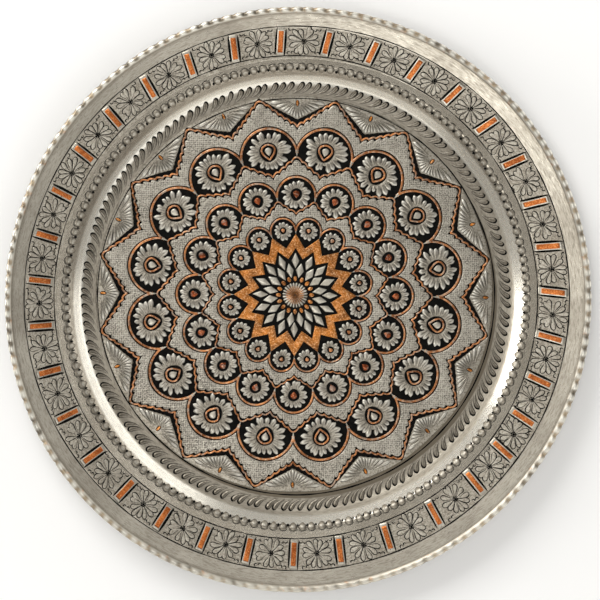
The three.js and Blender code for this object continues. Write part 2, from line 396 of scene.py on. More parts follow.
def fromPolar(r, degrees):
    a = np.radians(degrees)
    return np.stack([r * np.cos(a), r * np.sin(a)], -1)


def compass(degrees):
    return np.cos(np.radians(degrees)), np.sin(np.radians(degrees))


def local(centreR, degrees, x, y):
    # x outward and y anticlockwise from a point on the tray
    c, s = compass(degrees)
    return np.stack([(centreR + x) * c - y * s, (centreR + x) * s + y * c], -1)


# the sheet's own form, millimetres, read on its middle layer
form = {
    "radius": 200, "height": 22.5, "gauge": 0.9,
    "wireRadius": 1.0, "wireRoom": 0.3,
    "borderWidth": 41.6, "wallRun": 11.2, "wallRise": 12.15,
    "shelfWidth": 9.6, "shelfRise": 1.15,
    "wallBend": 12, "shoulderBend": 5, "footBend": 1.1,
    "curlStart": 135, "curlEnd": -155, "curlFoot": 1.3,
    "segments": 540, "upperRun": 2.6, "lowerRun": 5.0, "hub": 6,   # how finely the sheet is turned
}


def roundedPath(corners, step=4):
    # straight runs between the corners, each corner turned with its own bend radius
    path = []
    for i, (r, z, bend) in enumerate(corners):
        here = np.array([r, z], float)
        if not bend:
            path.append(here)
            continue
        back = unit(np.array(corners[i - 1][:2]) - here)
        on = unit(np.array(corners[i + 1][:2]) - here)
        turn = math.pi - math.acos(float(np.clip(back @ on, -1, 1)))
        hub = here + unit(back + on) * bend / math.cos(turn / 2)
        start = here + back * bend * math.tan(turn / 2) - hub
        side = np.sign(start[0] * (here - hub)[1] - start[1] * (here - hub)[0])
        parts = max(2, int(math.degrees(turn) / step))
        for k in range(parts + 1):
            a = side * turn * k / parts
            c, s = math.cos(a), math.sin(a)
            path.append(hub + np.array([c * start[0] - s * start[1], s * start[0] + c * start[1]]))
    return np.array(path)


def fillRuns(path, longest):
    out = [path[0]]
    for a, b in zip(path[:-1], path[1:]):
        parts = max(1, math.ceil(np.linalg.norm(b - a) / longest))
        out += [a + (b - a) * k / parts for k in range(1, parts + 1)]
    return np.array(out)


def sideways(path, distance):
    step = unit(np.diff(path, axis=0))
    before = np.vstack([step[:1], step])
    along = unit(before + np.vstack([step, step[-1:]]))
    reach = distance / (along * before).sum(1)
    return path + np.c_[-along[:, 1] * reach, along[:, 0] * reach]


halfGauge = form["gauge"] / 2
curlRadius = form["wireRadius"] + form["wireRoom"] + halfGauge
beadRadius = curlRadius + halfGauge
wireAt = np.array([form["radius"] - beadRadius, form["height"] - beadRadius])
curlBegin = wireAt + fromPolar(curlRadius, form["curlStart"])
foot = curlBegin + fromPolar(form["curlFoot"], form["curlStart"] + 90)
shoulder = form["radius"] - form["borderWidth"]
wallTop = halfGauge + form["wallRise"]
middleLayer = roundedPath([
    (0, halfGauge, 0),
    (shoulder - form["wallRun"], halfGauge, form["wallBend"]),
    (shoulder, wallTop, form["shoulderBend"]),
    (shoulder + form["shelfWidth"], wallTop + form["shelfRise"], 0),
    (*foot, form["footBend"]),
    (*curlBegin, 0),
])
topFace = sideways(middleLayer, halfGauge)


def surfaceAt(r):
    return np.interp(r, topFace[:, 0], topFace[:, 1])


# hand work: the well sits a little off the rim's centre, and the border waves
handWork = {
    "ringAt": (120, 150, 165.5, 186.2, 197),
    "aside": (-1.45, -1.5, -1.8, -0.95, 0),
    "up": (2.3, 2.2, 1.9, 0.9, 0),
    "wobble": 0.2, "sway": 0.2,
}


def settle(x, y, z):
    r, a = np.hypot(x, y), np.arctan2(y, x)
    share = (r / form["radius"]) ** 3
    waves = 0.6 * np.sin(2 * a + 0.7) + 0.5 * np.sin(3 * a + 2.1) + 0.35 * np.sin(5 * a + 4.0)
    lift = handWork["sway"] * share * (0.8 * np.sin(2 * a + 1.3) + 0.5 * np.sin(5 * a))
    grow = 1 + handWork["wobble"] * share * waves / np.maximum(r, 1e-6)
    aside, up = (np.interp(r, handWork["ringAt"], handWork[key]) for key in ("aside", "up"))
    return np.stack([x * grow + aside, y * grow + up, z + lift], -1)


def addPiece(name, verts, faces, finish, across=None):
    mesh = bpy.data.meshes.new(name)
    mesh.from_pydata((np.asarray(verts) * mm).tolist(), [], faces)
    if across is not None:
        index = np.empty(len(mesh.loops), np.int32)
        mesh.loops.foreach_get("vertex_index", index)
        layer = mesh.uv_layers.new(name="across")
        layer.data.foreach_set("uv", across[index].astype(np.float32).ravel())
    mesh.materials.append(finish)
    mesh.validate()
    mesh.shade_smooth()
    piece = bpy.data.objects.new(name, mesh)
    scene.collection.objects.link(piece)
    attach(piece, "root")
    return piece


# cross sections of a strip, from its first edge to its second: share across, share of the height
domeCross = ((0, 0), (0.06, 0.45), (0.2, 0.82), (0.5, 1), (0.8, 0.82), (0.94, 0.45), (1, 0))
plateCross = ((0, 0), (0.04, 0.7), (0.10, 0.96), (0.3, 1), (0.5, 1), (0.7, 1), (0.90, 0.96),
              (0.96, 0.7), (1, 0))
flatCross = ((0, 0), (0.05, 0.9), (0.5, 1), (0.95, 0.9), (1, 0))


def strips(name, first, second, finish, cross=domeCross, rise=0.4, lift=0.0, closed=False, shift=(0, 0)):
    # n raised strips of m steps, each with k points across, joined into one piece
    first, second = (edge if edge.ndim == 3 else edge[None] for edge in (first, second))
    n, m, _ = first.shape
    t, h = np.array(cross, float).T
    k = len(t)
    moved = first[:, :, None] + (second - first)[:, :, None] * t[:, None] + np.array(shift)
    rise = np.broadcast_to(rise, (n, m))[:, :, None] * h
    z = surfaceAt(np.hypot(moved[..., 0], moved[..., 1])) + lift + rise
    verts = settle(moved[..., 0], moved[..., 1], z).reshape(-1, 3)
    base = np.arange(n)[:, None] * m * k
    here = np.arange(m if closed else m - 1) * k
    on = (here + k) % (m * k)
    a = (here[:, None] + np.arange(k - 1)).ravel()
    b = (on[:, None] + np.arange(k - 1)).ravel()
    top = np.stack([a, b, b + 1, a + 1], -1)
    under = np.stack([here, here + k - 1, on + k - 1, on], -1)
    faces = (np.concatenate([top, under])[None] + base[..., None]).reshape(-1, 4).tolist()
    if not closed:
        for start in base[:, 0].tolist():
            last = start + (m - 1) * k
            faces += [list(range(start, start + k)), list(range(last, last + k))[::-1]]
    run = np.linalg.norm(np.diff((first + second) / 2, axis=1), axis=2)
    run = np.concatenate([np.zeros((n, 1)), np.cumsum(run, 1)], 1)
    along = np.broadcast_to((run / np.maximum(run[:, -1:], 1e-9))[:, :, None], (n, m, k))
    across = np.stack([np.broadcast_to(t, (n, m, k)), along], -1).reshape(-1, 2)
    return addPiece(name, verts, faces, finish, across)


def edgesOf(lines, halfWidth, closed=False):
    # the two edges of each stroke, right-hand one first
    lines = np.asarray(lines, float)
    if lines.ndim == 2:
        lines = lines[None]
    if closed:
        step = unit(np.roll(lines, -1, 1) - np.roll(lines, 1, 1))
    else:
        step = unit(np.gradient(lines, axis=1))
    side = np.stack([-step[..., 1], step[..., 0]], -1)
    half = np.broadcast_to(halfWidth, lines.shape[:2])[..., None]
    return lines - side * half, lines + side * half


def bent(start, control, end, points=9):
    u = np.linspace(0, 1, points)[None, :, None]
    s, c, e = (np.asarray(p, float)[:, None, :] for p in (start, control, end))
    return (1 - u) ** 2 * s + 2 * u * (1 - u) * c + u ** 2 * e


def straight(start, end, points=9):
    return bent(start, (start + end) / 2, end, points)


def radials(centreR, degrees, low, high, points=9):
    # straight lines outward, from low to high as measured from a point on the tray
    return straight(local(centreR, degrees, low, 0.0), local(centreR, degrees, high, 0.0), points)


shapes = {   # half width along the length
    "petal": ((0, 0.55), (0.2, 0.68), (0.45, 0.86), (0.66, 1.0), (0.78, 0.90), (0.88, 0.62),
              (0.95, 0.34), (1, 0.12)),
    "loop": ((0, 0.12), (0.25, 0.35), (0.5, 0.72), (0.72, 1.0), (0.87, 0.88), (0.96, 0.55), (1, 0.16)),
    "fan": ((0, 0.10), (0.3, 0.36), (0.6, 0.72), (0.74, 0.86), (0.84, 0.94), (0.93, 0.74), (1, 0.25)),
    "scallop": ((0, 0.72), (0.12, 0.92), (0.35, 1.0), (0.6, 0.93), (0.8, 0.70), (0.93, 0.40), (1, 0.06)),
    "spike": ((0, 0.9), (0.2, 1.0), (0.45, 0.62), (0.75, 0.25), (1, 0.04)),
    "drop": ((0, 0.06), (0.15, 0.38), (0.35, 0.78), (0.55, 0.98), (0.68, 1.0), (0.85, 0.80),
             (0.96, 0.42), (1, 0.12)),
    "kite": ((0, 0.05), (0.52, 1.0), (1, 0.05)),
    "diamond": ((0, 0.05), (0.47, 1.0), (1, 0.05)),
    "bead": ((0, 0.15), (0.08, 0.54), (0.25, 0.87), (0.5, 1.0), (0.75, 0.87), (0.92, 0.54), (1, 0.15)),
    "bar": ((0, 0.92), (0.03, 1.0), (0.97, 1.0), (1, 0.92)),
    "stroke": ((0, 0.25), (0.15, 0.9), (0.6, 1.0), (0.9, 0.6), (1, 0.15)),
    "rope": ((0, 0.25), (0.07, 0.75), (0.2, 1.0), (0.45, 0.86), (0.75, 0.50), (1, 0.12)),
}
fatness = ((0, 0.35), (0.15, 0.8), (0.5, 1.0), (0.85, 0.85), (1, 0.35))   # height along the length


def profileAt(u, points):
    return np.interp(u, *zip(*points))


def leaves(name, lines, half, shape, finish, rise=0.4, lift=0.0, shift=(0, 0), cross=domeCross):
    # one raised leaf on each line, as wide as its shape says
    u = np.linspace(0, 1, lines.shape[1])
    first, second = edgesOf(lines, np.reshape(half, (-1, 1)) * profileAt(u, shapes[shape]))
    return strips(name, first, second, finish, cross, rise * profileAt(u, fatness), lift, shift=shift)


def loosen(value, count, amount):
    return value * (1 + amount * (rng.random(count) - 0.5) * 2)


# sheet and rim
def latheFaces(points, segments):
    i, s = np.arange(points - 1), np.arange(segments)
    a = s[:, None] * points + i
    b = ((s + 1) % segments)[:, None] * points + i
    return np.stack([a, b, b + 1, a + 1], -1).reshape(-1, 4)


def turnProfile(profile, segments, change=None):
    angles = np.linspace(0, 360, segments, endpoint=False)[:, None]
    r, z = (np.broadcast_to(column, (segments, len(profile))) for column in profile.T)
    if change:
        r, z = change(angles, r, z)
    c, s = compass(angles)
    return settle(r * c, r * s, z).reshape(-1, 3)


def buildSheet():
    # the open part of the sheet only, as the rim is a piece of its own
    upto = middleLayer[middleLayer[:, 0] < foot[0] - 0.2]
    middle = fillRuns(upto, form["upperRun"])
    upper = sideways(middle[middle[:, 0] > form["hub"]], halfGauge)
    lower = sideways(fillRuns(upto, form["lowerRun"]), -halfGauge)
    lower = lower[lower[:, 0] > form["hub"]]
    profile = np.vstack([lower, upper[::-1]])
    n, segments = len(profile), form["segments"]
    faces = latheFaces(n, segments)[:, ::-1].tolist()
    faces.append([s * n for s in range(segments)][::-1])
    faces.append([s * n + n - 1 for s in range(segments)])
    piece = addPiece("traySheet", turnProfile(profile, segments), faces, sheetFinish)
    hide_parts("tray_sheet")


def buildRim():
    curlTurns = np.linspace(form["curlStart"], form["curlEnd"], rimWork["curlSteps"] + 1)
    curl = wireAt + fromPolar(curlRadius, curlTurns)
    lead = middleLayer[(middleLayer[:, 0] > foot[0] - 1.3) & (middleLayer[:, 0] < curl[0, 0] - 0.05)]
    middle = np.vstack([lead, curl])
    outer = sideways(middle, halfGauge + rimWork["proud"])
    inner = sideways(middle, -halfGauge)[::-2]
    profile = np.vstack([outer, inner, outer[:1]])
    away = unit(profile - wireAt)
    lean = np.degrees(np.arctan2(away[:, 1], away[:, 0]))
    onOuter = np.arange(len(profile)) < len(outer)
    # notched on top and on the outside only
    weight = np.interp(lean, (-80, -30, 20, 115, 150), (0, 0.8, 1, 1, 0)) * onOuter
    count = rimWork["notches"]
    strength = np.clip(1 - rimWork["uneven"] + rimWork["uneven"] * rng.standard_normal(count), 0.35, 1.3)
    shove = rimWork["jitter"] * (rng.random(count) - 0.5)
    marks = {}

    def notched(degrees, r, z):
        turn = degrees / 360 * count
        which = np.round(turn).astype(int) % count
        off = turn - np.round(turn) - shove[which]
        # blunt lumps with a sharp gap between each two
        dip = np.clip(1 - 2 * np.abs(off), 0, 1) ** 2 * strength[which]
        worn = 1 - 0.5 * np.exp(-(((degrees - rimWork["calmAt"]) / rimWork["calmWidth"]) ** 2))
        deep = rimWork["depth"] * dip * worn * weight
        marks["gap"] = 0.5 + 0.5 * np.exp(-((off / rimWork["gapWidth"]) ** 2)) * worn * weight
        marks["lump"] = worn ** 1.5 * weight
        return r - deep * away[:, 0], z - deep * away[:, 1]

    verts = turnProfile(profile, rimWork["segments"], notched)
    faces = latheFaces(len(profile), rimWork["segments"]).tolist()
    across = np.stack([marks["gap"].ravel(), marks["lump"].ravel()], -1)
    piece = addPiece("rolledRim", verts, faces, rimFinish, across)


buildSheet()
buildRim()
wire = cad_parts["rim_wire"]
wire.data.materials.clear()
wire.data.materials.append(wireFinish)
for slot in wire.material_slots:
    slot.material = wireFinish
print("sheet and rim turned")

# medallion: sixteen folds, millimetres from its own centre
folds = {"count": 16, "turn": 10.5, "steps": 132, "shift": (-1.25, 1.7), "tipRound": 0.13}
foldAngle = 360 / folds["count"]
onFold, offFold = folds["turn"], folds["turn"] + foldAngle / 2
onTurns = onFold + foldAngle * np.arange(folds["count"])
offTurns = offFold + foldAngle * np.arange(folds["count"])
centreShift = folds["shift"]
ringAngles = np.linspace(0, 360, folds["count"] * folds["steps"], endpoint=False)
ringTurns = np.radians(ringAngles)


def offTip(degrees, turn):
    return (degrees - turn + foldAngle / 2) % foldAngle - foldAngle / 2


def zigzag(turn, tip, valley, scallops=0, depth=0.0):
    # radius of a sixteen-pointed outline all the way round, its sides straight or scalloped
    off = np.radians(np.abs(offTip(ringAngles, turn)))
    h = math.radians(foldAngle / 2)
    if scallops:
        # the waves turn their outer corners in a small round
        share, soft = off / h, folds["tipRound"]
        off = h * (np.sqrt(share ** 2 + soft ** 2) - soft * np.exp(-(share / (3 * soft)) ** 2))
    dx, dy = valley * math.cos(h) - tip, valley * math.sin(h)
    r = tip * dy / (np.cos(off) * dy - np.sin(off) * dx)
    return r + depth * np.abs(np.cos(math.pi * (scallops + 0.5) * off / h)) ** 0.8


def archEdge(degrees, turn, at, up, wide):
    # far side of an ellipse that stands on the fold, as a radius
    c, s = compass(offTip(degrees, turn))
    qa = c ** 2 / up ** 2 + s ** 2 / wide ** 2
    qb = -2 * at * c / up ** 2
    qc = at ** 2 / up ** 2 - 1
    return (-qb + np.sqrt(np.maximum(qb ** 2 - 4 * qa * qc, 0))) / (2 * qa)


def ringBand(name, low, high, finish, cross=plateCross, rise=0.5):
    outside, inside = fromPolar(high, ringAngles), fromPolar(low, ringAngles)
    return strips(name, outside, inside, finish, cross, rise, closed=True, shift=centreShift)


def ringLine(name, radius, half, finish, rise, lift, shift=centreShift):
    first, second = edgesOf(fromPolar(radius, ringAngles), half, closed=True)
    return strips(name, first, second, finish, rise=rise, lift=lift, closed=True, shift=shift)


arcades = {
    # at, up, wide, line: the copper arch; tip, valley: outer edge of the hatched band outside it;
    # wave: the copper line outside that
    "inner": {"turn": onFold, "at": 44.6, "up": 9.4, "wide": 8.72, "line": 0.62,
              "tip": 62.4, "valley": 54.7, "bandDepth": 1.6, "scallops": 2,
              "waveTip": 64.6, "waveValley": 56.5, "depth": 1.1, "wave": 0.5},
    "middle": {"turn": offFold, "at": 68.0, "up": 14.1, "wide": 13.4, "line": 0.72,
               "tip": 91.7, "valley": 81.0, "bandDepth": 2.0, "scallops": 3,
               "waveTip": 94.2, "waveValley": 83.1, "depth": 1.4, "wave": 0.58},
    "outer": {"turn": onFold, "at": 96.5, "up": 20.4, "wide": 19.6, "line": 0.82,
              "tip": 132.4, "valley": 114.4, "bandDepth": 2.2, "scallops": 5,
              "waveTip": 134.7, "waveValley": 116.6, "depth": 1.5, "wave": 0.66},
}
archClear = 0.5   # black line left between an arch and its band


def archLines(name, arcade):
    # one copper arch per fold, running from foot to foot
    theta = np.linspace(-100, 100, 41)
    c, s = compass(theta)
    x, y = arcade["at"] + arcade["up"] * c, arcade["wide"] * s
    inFold = np.abs(np.degrees(np.arctan2(y, x))) <= foldAngle / 2 + 0.25
    keep = inFold & (np.abs(theta) <= 96)
    turns = arcade["turn"] + foldAngle * np.arange(folds["count"])
    lines = np.array([local(0, turn, x[keep], y[keep]) for turn in turns])
    first, second = edgesOf(lines, arcade["line"])
    return strips(name, first, second, copperFinish, rise=0.42, lift=0.08, shift=centreShift)


for kind, arcade in arcades.items():
    turn, clear = arcade["turn"], arcade["line"] + archClear
    low = archEdge(ringAngles, turn, arcade["at"], arcade["up"] + clear, arcade["wide"] + clear)
    high = zigzag(turn, arcade["tip"], arcade["valley"], arcade["scallops"], arcade["bandDepth"])
    ringBand(kind + "HatchedBand", low, high, bandFinish)
    archLines(kind + "CopperArches", arcade)
    wave = zigzag(turn, arcade["waveTip"], arcade["waveValley"], arcade["scallops"], arcade["depth"])
    piece = ringLine(kind + "CopperWave", wave, arcade["wave"], copperFinish, rise=0.4, lift=0.08)

spike = {"half": 1.1, "outward": 1.2, "inward": 5.2, "rise": 0.5, "lift": 0.1, "madeFor": 96}
for kind, arcade in arcades.items():
    # pale spikes where two arches meet
    turns = arcade["turn"] + foldAngle * (np.arange(folds["count"]) + 0.5)
    meet = archEdge(turns[0] - 0.01, arcade["turn"], arcade["at"], arcade["up"], arcade["wide"])
    size = arcade["at"] / spike["madeFor"]
    lines = radials(meet, turns, spike["outward"] * size, -spike["inward"] * size)
    piece = leaves(kind + "Spikes", lines, spike["half"] * size, "spike", frameFinish,
                   spike["rise"], spike["lift"], centreShift)

border = {"tip": 137.6, "valley": 120.6, "heart": 8.2}
star = {"innerTip": 32.4, "innerValley": 25.3, "outerTip": 42.8, "outerValley": 33.1, "rise": 0.42}
jag = 0.5 * np.abs(np.sin(ringTurns * 152)) + 0.25 * np.sin(ringTurns * 37)   # hand-cut outer edge
# edges of the black grounds, from the heart outwards: where a tip points, its radius and the valley's
seams = [
    border["heart"],
    zigzag(offFold, 37.6, 29.2),
    zigzag(onFold, 59.5, 51.5),
    zigzag(offFold, 88.0, 77.0),
    zigzag(onFold, 126.0, 109.5),
    zigzag(onFold, border["tip"] + 0.5, border["valley"] + 0.5) + jag,
]
grounds = {
    "centreGround": "centre_star_fill",
    "innerGround": "inner_arcade_fill",
    "middleGround": "middle_arcade_fill",
    "outerGround": "outer_arcade_fill",
    "borderGround": "star_border_fill",
}
for (name, node), low, high in zip(grounds.items(), seams[:-1], seams[1:]):
    piece = ringBand(name, low, high, blackFinish, flatCross, rise=0.16)
    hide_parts(node)
low = zigzag(offFold, star["innerTip"], star["innerValley"])
high = zigzag(offFold, star["outerTip"], star["outerValley"])
piece = ringBand("copperStar", low, high, starFinish, rise=star["rise"])
print("bands and grounds laid")

# heart of the medallion
heart = {
    "kite": {"from": 12.25, "to": 22.3, "half": 2.95, "rise": 0.55},
    "diamond": {"from": 18.9, "to": 29.3, "half": 2.75, "rise": 0.55},
    "bead": {"from": 9.7, "to": 13.3, "half": 1.3, "rise": 0.5},
    "copperStroke": {"from": 0.5, "to": 6.6, "half": 0.42, "rise": 0.5},
    "paleTip": {"from": 2.4, "to": 8.8, "half": 0.60, "rise": 0.45},
    "wander": 0.8, "strokes": 24, "dish": (0.05, 8.8),
}
for name, turns, key, finish in (
    ("heartKites", onTurns, "kite", kiteFinish),
    ("heartDiamonds", offTurns, "diamond", kiteFinish),
    ("heartBeads", offTurns, "bead", starFinish),
):
    part = heart[key]
    turns = turns + heart["wander"] * rng.standard_normal(len(turns))
    lines = radials(0, turns, part["from"], part["to"], 11)
    half = loosen(part["half"], len(turns), 0.08)
    piece = leaves(name, lines, half, key, finish, part["rise"], lift=0.05, shift=centreShift)

n = heart["strokes"]
turns = np.arange(n) * 360 / n
part = heart["copperStroke"]
lines = radials(0, turns, part["from"], part["to"])
piece = leaves("heartCopperStrokes", lines, part["half"], "loop", starFinish, part["rise"], 0.1, centreShift)
part = heart["paleTip"]
lines = radials(0, turns + 180 / n, part["from"], part["to"])
half = loosen(part["half"], n, 0.25)
piece = leaves("heartPaleTips", lines, half, "loop", kiteFinish, part["rise"], 0.12, centreShift)
piece = ringBand("heartDish", *heart["dish"], groundFinish, flatCross, rise=0.1)

# rosettes: petals round an egg-shaped eye that points to the middle of the tray
rosettes = {
    "inner": {"turns": onTurns, "at": 45.6, "petals": 12,
              "side": 6.2, "out": 5.7, "in": 7.0, "eye": 2.2, "point": 2.5},
    "middle": {"turns": offTurns, "at": 70.2, "petals": 15,
               "side": 9.9, "out": 9.1, "in": 10.2, "eye": 3.9, "point": 4.8},
    "outer": {"turns": onTurns, "at": 101.2, "petals": 19,
              "side": 14.7, "out": 12.6, "in": 13.4, "eye": 6.1, "point": 7.4},
}
petalWork = {
    "wander": 2.0, "swing": 5, "long": 1.015, "unevenLong": 0.05, "eyeGap": 1.08,
    "wide": 0.80 * 1.10, "unevenWide": 0.80 * 0.08,   # share of the room that one petal has
    "cushionOut": 0.72, "cushionIn": 0.98,
}


def reachAt(rose, psi):
    c = compass(psi)[0]
    outward = (rose["out"] - rose["side"]) * np.maximum(c, 0) ** 2
    return rose["side"] + outward + (rose["in"] - rose["side"]) * np.maximum(-c, 0) ** 2


def eyeAt(rose, psi):
    return rose["eye"] + (rose["point"] - rose["eye"]) * np.maximum(-compass(psi)[0], 0) ** 3


def eyeDrops(name, rose, scale, finish, rise, lift):
    lines = radials(rose["at"], rose["turns"], -rose["point"] * scale, rose["eye"] * scale, 13)
    piece = leaves(name, lines, rose["eye"] * scale, "drop", finish, rise, lift, centreShift)


def rosettePetals(name, rose):
    n = rose["petals"]
    starts, controls, ends, halves = [], [], [], []
    for turn in rose["turns"]:
        psi = (np.arange(n) + 0.5) * 360 / n + petalWork["wander"] * rng.standard_normal(n)
        far = reachAt(rose, psi) * (petalWork["long"] + petalWork["unevenLong"] * rng.standard_normal(n))
        near = eyeAt(rose, psi) * petalWork["eyeGap"]
        middle = (near + far) / 2
        (c, s), (bendC, bendS) = compass(psi), compass(psi + petalWork["swing"] * rng.standard_normal(n))
        starts.append(local(rose["at"], turn, near * c, near * s))
        controls.append(local(rose["at"], turn, middle * bendC, middle * bendS))
        ends.append(local(rose["at"], turn, far * c, far * s))
        share = petalWork["wide"] + petalWork["unevenWide"] * rng.standard_normal(n)
        halves.append(math.pi * far / n * share)
    lines = bent(*map(np.concatenate, (starts, controls, ends)))
    piece = leaves(name, lines, np.concatenate(halves), "petal", petalFinish,
                   rise=0.62, lift=0.10, shift=centreShift)


def rosetteCushions(name, rose):
    psi = np.linspace(0, 360, 40, endpoint=False)
    edges = []
    for reach in (petalWork["cushionOut"] * reachAt(rose, psi), petalWork["cushionIn"] * eyeAt(rose, psi)):
        x, y = fromPolar(reach, psi).T
        edges.append(np.array([local(rose["at"], turn, x, y) for turn in rose["turns"]]))
    piece = strips(name, *edges, cushionFinish, rise=0.42, lift=0.04, closed=True, shift=centreShift)


def eyeRings(name, rose, size, half):
    along = np.linspace(0, 1, 33)
    x = (along * (rose["eye"] + rose["point"]) - rose["point"]) * size
    y = profileAt(along, shapes["drop"]) * rose["eye"] * size
    x, y = np.concatenate([x, x[::-1]]), np.concatenate([-y, y[::-1]])
    lines = np.array([local(rose["at"], turn, x, y) for turn in rose["turns"]])
    first, second = edgesOf(lines, half, closed=True)
    piece = strips(name, first, second, copperFinish, rise=0.32, lift=0.5, closed=True, shift=centreShift)


for kind, rose in rosettes.items():
    rosettePetals(kind + "RosettePetals", rose)
    rosetteCushions(kind + "RosetteCushions", rose)
    eyeDrops(kind + "EyeBlack", rose, 1.0, blackFinish, rise=0.3, lift=0.28)
eyeDrops("innerEyeCopper", rosettes["inner"], 0.62, copperFinish, rise=0.35, lift=0.5)
eyeDrops("middleEyeCopper", rosettes["middle"], 0.58, eyeFinish, rise=0.4, lift=0.5)
eyeRings("outerEyeRings", rosettes["outer"], 0.76, half=0.62)
eyeDrops("outerEyeCores", rosettes["outer"], 0.42, kiteFinish, rise=0.42, lift=0.5)
print("rosettes chased")

# filled lines round the tray
fillLines = {
    "medallionLine": {"node": "medallion_line_fill", "radius": 138.0, "half": 0.48},
    "panelInnerLine": {"node": "panel_inner_line_fill", "radius": 165.9, "half": 0.36},
    "panelOuterLine": {"node": "panel_outer_line_fill", "radius": 186.2, "half": 0.36},
}


def buildFillLines():
    for name, line in fillLines.items():
        # the cut wavers a little, and is now thicker and now thinner
        radius = line["radius"]
        waver = 0.10 * np.sin(ringTurns * 3 + radius) + 0.05 * np.sin(ringTurns * 11)
        half = line["half"] * (1 + 0.2 * np.sin(ringTurns * 23 + radius) + 0.15 * np.sin(ringTurns * 57))
        piece = ringLine(name, radius + waver, half, blackFinish, rise=0.12, lift=0.02, shift=(0, 0))
        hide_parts(line["node"])


# fans between the star's points
fan = {
    "petals": 15, "spread": 84, "wander": 0.8, "at": 134.6, "longest": 20.5, "trim": 0.93, "root": 0.26,
    "curl": 0.36, "curlFrom": 60, "full": 17, "fill": 0.47,
    "pegAt": 132.9, "pegLength": 4.0, "pegHalf": 0.85,
}


def buildFans():
    ground = zigzag(onFold, border["tip"] + 0.8, border["valley"] + 0.8)
    edge = fillLines["medallionLine"]["radius"]
    piece = ringBand("fanGround", ground, edge, fanGroundFinish, flatCross, rise=0.1)
    # every petal stops short of the zigzag, which runs as a straight line on each side of the fan
    h = math.radians(foldAngle / 2)
    apex = fan["at"] - border["valley"] - 0.6
    tip = np.array([fan["at"] - border["tip"] * math.cos(h), border["tip"] * math.sin(h)])
    run = unit(tip - (apex, 0))
    face = np.array([run[1], -run[0]])
    n = fan["petals"]
    starts, controls, ends, halves = [], [], [], []
    for turn in offTurns:
        psi = np.linspace(-fan["spread"], fan["spread"], n) + fan["wander"] * rng.standard_normal(n)
        c, s = compass(psi)
        far = np.minimum(face @ (apex, 0) / (face[0] * c + face[1] * np.abs(s)), fan["longest"]) * fan["trim"]
        curl = fan["curl"] * (np.abs(psi) > fan["curlFrom"])
        starts.append(local(fan["at"], turn, -fan["root"] * far * c, fan["root"] * far * s))
        controls.append(local(fan["at"], turn, -0.6 * far * c + curl, 0.6 * far * s))
        ends.append(local(fan["at"], turn, -far * c, far * s))
        halves.append(np.minimum(far, fan["full"]) * math.radians(2 * fan["spread"] / (n - 1)) * fan["fill"])
    lines = bent(*map(np.concatenate, (starts, controls, ends)))
    piece = leaves("fanPetals", lines, np.concatenate(halves), "fan", fanFinish,
                   rise=0.85, lift=0.05, shift=centreShift)
    for name, grow, finish, rise, lift in (
        ("fanPegOutlines", 0.55, blackFinish, 0.2, 0.1),
        ("fanPegs", 0.0, starFinish, 0.4, 0.2),
    ):
        reach = fan["pegLength"] / 2
        lines = radials(fan["pegAt"], offTurns, -reach - grow, reach + grow * 0.4)
        piece = leaves(name, lines, fan["pegHalf"] + grow, "bead", finish, rise, lift, centreShift)


buildFans()
buildFillLines()

# flower panels and copper bars on the border
panels = {
    "count": 35, "firstBar": 1.7, "inner": 165.5, "outer": 186.2,
    # the bars are pushed together or apart here: degrees round, width, push
    "drift": ((312, 19, 3.9), (190, 30, -1.15), (85, 35, -0.6)),
    "petals": 12, "petalHalf": 1.95, "reach": (9.6, 10.6), "wander": 3.5, "swing": 8,
    "outline": 0.42, "heavySide": 0.16, "eye": 0.85,
    "curlAt": 8.3, "curlSize": 1.15, "curlLayers": ((0.0, 1.0), (2.6, 0.75)),
    "barHalf": 1.72, "barLength": 14.8, "railAt": 3.05, "railHalf": 0.85, "lean": 0.9,
}
panelMiddle = (panels["inner"] + panels["outer"]) / 2


def barLine(bars, low, high, lean, points):
    # a bar leans a little: its outer end towards the smaller angle
    lean = panels["lean"] * lean
    return straight(local(low, bars, 0.0, lean), local(high, bars, 0.0, -lean), points)


def buildFlowers(centres):
    n = panels["petals"]
    starts, controls, ends = [], [], []
    for turn in centres:
        psi = np.arange(n) * 360 / n + panels["wander"] * rng.standard_normal(n) + rng.random() * 30
        c, s = compass(psi)
        outward, sideward = np.abs(c), np.abs(s)
        far = (panels["reach"][0] * outward + panels["reach"][1] * sideward) / (outward + sideward)
        far = far * (1 + 0.05 * rng.standard_normal(n))
        bendC, bendS = compass(psi + panels["swing"] * rng.standard_normal(n))
        starts.append(local(panelMiddle, turn, 0.9 * c, 0.9 * s))
        controls.append(local(panelMiddle, turn, 0.55 * far * bendC, 0.55 * far * bendS))
        ends.append(local(panelMiddle, turn, far * c, far * s))
    starts, controls, ends = map(np.concatenate, (starts, controls, ends))
    half, outline = panels["petalHalf"], panels["outline"]
    lines = bent(starts, controls, ends, 13)
    dark = leaves("flowerOutlines", lines, half, "loop", blackFinish, rise=0.10, lift=0.02)
    # the pale petal sits inside its outline, a little to one side, so the line is heavier on the other
    along = unit(ends - starts)
    aside = panels["heavySide"] * along[:, ::-1] * (-1, 1)
    first, last = starts + outline * along * 2.2, ends - outline * along * 1.2 + aside * 0.7
    lines = bent(first, controls + aside, last, 13)
    pale = leaves("flowerPetals", lines, half - outline * 1.1, "loop", flowerFinish, rise=0.16, lift=0.06)
    eye = panels["eye"]
    lines = radials(panelMiddle, centres, -eye, eye)
    piece = leaves("flowerEyes", lines, eye, "bead", blackFinish, rise=0.2, lift=0.25)


